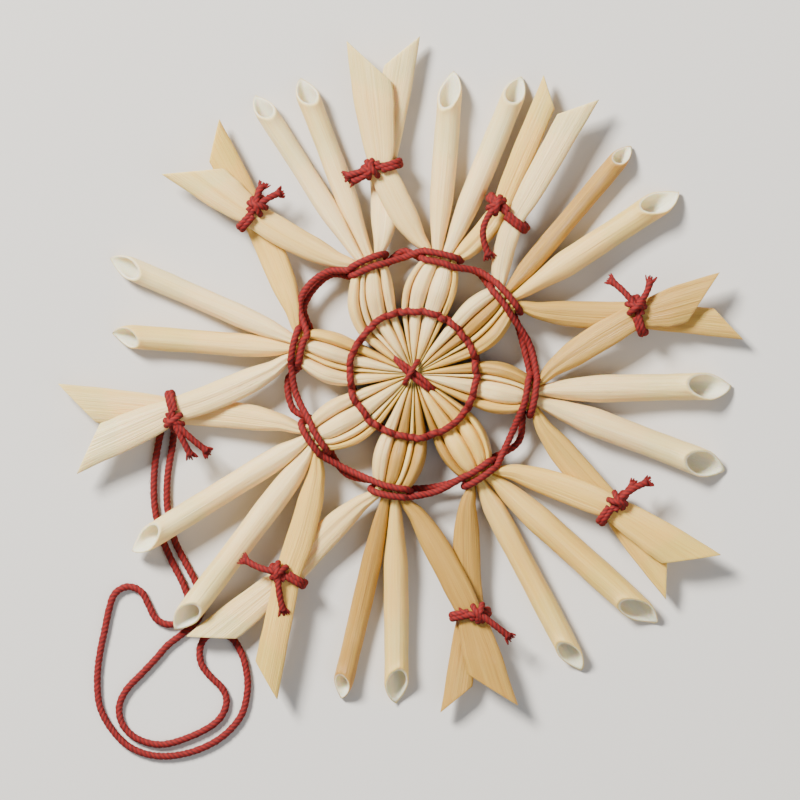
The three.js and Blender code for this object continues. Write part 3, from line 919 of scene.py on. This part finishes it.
OVER_TURN = [
    (-0.62, -1.75, 1.68), (-0.46, -0.8, 1.95), (-0.44, 0.8, 1.95), (-0.50, 1.75, 1.68), (-0.35, 2.3, 0.6),
    (-0.20, 2.25, -0.9), (-0.08, 1.5, -1.88), (0.0, 0.0, -1.98), (0.1, -1.5, -1.88), (0.25, -2.25, -0.9),
    (0.38, -2.3, 0.7), (0.55, -1.6, 1.75), (0.62, 0.0, 1.98), (0.52, 1.6, 1.75), (0.35, 2.4, 1.1),
]
UNDER_RUN = [
    (-0.6, -2.4, -0.7), (-0.95, -1.5, -1.83), (-0.98, 0.0, -1.98), (-0.95, 1.5, -1.83), (-0.6, 2.4, -0.7),
]
thread_piece(
    "outer_ring",
    [
        strand(round_the_bunches(OVER_TURN, 0), RING_THREAD_R * 0.95, closed=True, seed=51),
        *fluff(round_the_bunches(OVER_TURN, 0), RING_THREAD_R * 0.95, 51),
        strand(round_the_bunches(UNDER_RUN, 1), RING_THREAD_R * 0.95, closed=True, seed=52),
    ],
    "outer_ring_thread",
)
print("outer ring wound")

# %% [markdown]
# ## Ties at the crossings
# Each tie is two turns round the crossed straws, an overhand knot on top, and cut tails. The cut end of a
# tail opens a little as its plies let go.

# %% Ties
def loose_end(line, rng):
    """The plies let go past the end of a tail and fan out, as a handful of thin curved wisps."""
    tip, before = np.array(line[-1]), np.array(line[-4])
    ahead = (tip - before) / np.linalg.norm(tip - before)
    side = np.cross(ahead, (0, 0, 1))
    wisps = []
    for w in range(9):
        swing, rise = (w - 4) * 0.115 + rng.uniform(-0.05, 0.05), rng.uniform(-0.12, 0.14)
        reach = rng.uniform(0.60, 0.95)
        root = tip - ahead * 0.5 + side * swing * 0.9
        points = []
        for t in (0, 0.5, 1):
            spot = root + ahead * (0.3 + reach * t) + side * swing * 0.8 * t
            points.append(spot + np.array((0, 0, rise * t)))
        wisps.append(strand(
            curve_through(points, False, dense=4), rng.uniform(0.13, 0.17), seed=w, lay=0.9, taper=0.35,
        ))
    return wisps


def tie_strands(number, tie):
    rng = random.Random(100 + number)
    p = polar(tie["at"], tie["r"])
    side = tie.get("side", 0)
    half = (tie["slim"] if side else TIE_W) / 2 + side + THREAD_R + 0.22
    tall = TIE_LIFT + TIE_H / 2 + THREAD_R + 0.02
    bearing = tie["at"] + 90 + (-10 if side else rng.uniform(-5, 5))
    along, out = polar(bearing, 1), polar(bearing - 90, 1)
    toward = tie.get("knot") or (1 if polar(tie["tails"][0][0], 1).dot(along) >= 0 else -1)
    turns = []
    for i in range(60):
        a = math.pi * (0.5 + 4 * i / 59)
        x = math.copysign(abs(math.cos(a)) ** 0.6, math.cos(a)) * half
        z = math.copysign(abs(math.sin(a)) ** 0.6, math.sin(a)) * tall
        o = mix(-0.42, 0.42, i / 59)
        q = p + along * x * toward + out * o
        turns.append((q.x, q.y, MID_Z + z))
    knot_at = p + along * toward * half * 0.55
    knot_z = MID_Z + tall + 0.12
    made = [strand(curve_through(turns, False, dense=4), TIE_THREAD_R, seed=200 + number)]
    made += fluff(turns, TIE_THREAD_R, 200 + number)
    for j, lean in enumerate((-24, 24)):
        over = polar(bearing - 90 + lean, 1)
        arc = []
        for t in (-1.15, -0.8, -0.3, 0.3, 0.8, 1.15):
            q = knot_at + over * t * 0.95 + along * (0.12 - 0.24 * j)
            arc.append((q.x, q.y, knot_z + 0.50 - 0.62 * t * t + 0.1 * j))
        made.append(strand(curve_through(arc, False, dense=8), KNOT_THREAD_R, seed=220 + 2 * number + j))
    for j, (way, length) in enumerate(tie["tails"]):
        go, bend = polar(way, 1), polar(way + 90, -1.2 if side else rng.uniform(-0.35, 0.35))
        tail = []
        for t in (0.0, 0.25, 0.5, 0.75, 1.0):
            q = knot_at + go * length * t + bend * math.sin(3 * t)
            tail.append((q.x, q.y, knot_z + 0.30 - 0.75 * t * t - 0.08 * j))
        line = curve_through(tail, False)
        made.append(strand(line, TIE_THREAD_R, seed=240 + 3 * number + j, flare=0.25))
        made += fluff(line, TIE_THREAD_R, 240 + 3 * number + j, every=0.5)
        made += loose_end(line, rng)
    return made


for number, tie in enumerate(TIES, 1):
    thread_piece(f"tie_{number}", tie_strands(number, tie), f"point_tie_{number}")
print("ties", len(TIES))

# %% [markdown]
# ## Floor and light
# A plain pale sheet lies under the star. The main light is a soft panel from the upper left, and a wide,
# weak one from the other side keeps the gaps between the straws readable.

# %% Floor and light
floor_mesh = bpy.data.meshes.new("floor")
floor_bm = bmesh.new()
bmesh.ops.create_grid(floor_bm, x_segments=1, y_segments=1, size=3.0)
floor_bm.to_mesh(floor_mesh)
floor_bm.free()
floor = bpy.data.objects.new("floor", floor_mesh)
bpy.context.scene.collection.objects.link(floor)
paper = bpy.data.materials.new("pale_paper")
paper.use_nodes = True
paper.node_tree.nodes["Principled BSDF"].inputs["Base Color"].default_value = (0.66, 0.64, 0.60, 1)
paper.node_tree.nodes["Principled BSDF"].inputs["Roughness"].default_value = 0.9
floor_mesh.materials.append(paper)


def panel(name, place, size, power, colour):
    lamp = bpy.data.lights.new(name, "AREA")
    lamp.shape = "SQUARE"
    lamp.size = size
    lamp.energy = power
    lamp.color = colour
    holder = bpy.data.objects.new(name, lamp)
    holder.location = place
    holder.rotation_euler = (-Vector(place)).to_track_quat("-Z", "Y").to_euler()
    bpy.context.scene.collection.objects.link(holder)


panel("key", (-0.42, 0.48, 0.62), 0.24, 23.5, (1.0, 0.97, 0.93))
panel("fill", (0.55, -0.35, 0.7), 0.8, 3.5, (0.95, 0.97, 1.0))
world = bpy.data.worlds.new("room")
world.use_nodes = True
world.node_tree.nodes["Background"].inputs[0].default_value = (0.9, 0.93, 1.0, 1)
world.node_tree.nodes["Background"].inputs[1].default_value = 0.27
bpy.context.scene.world = world
print("lit")
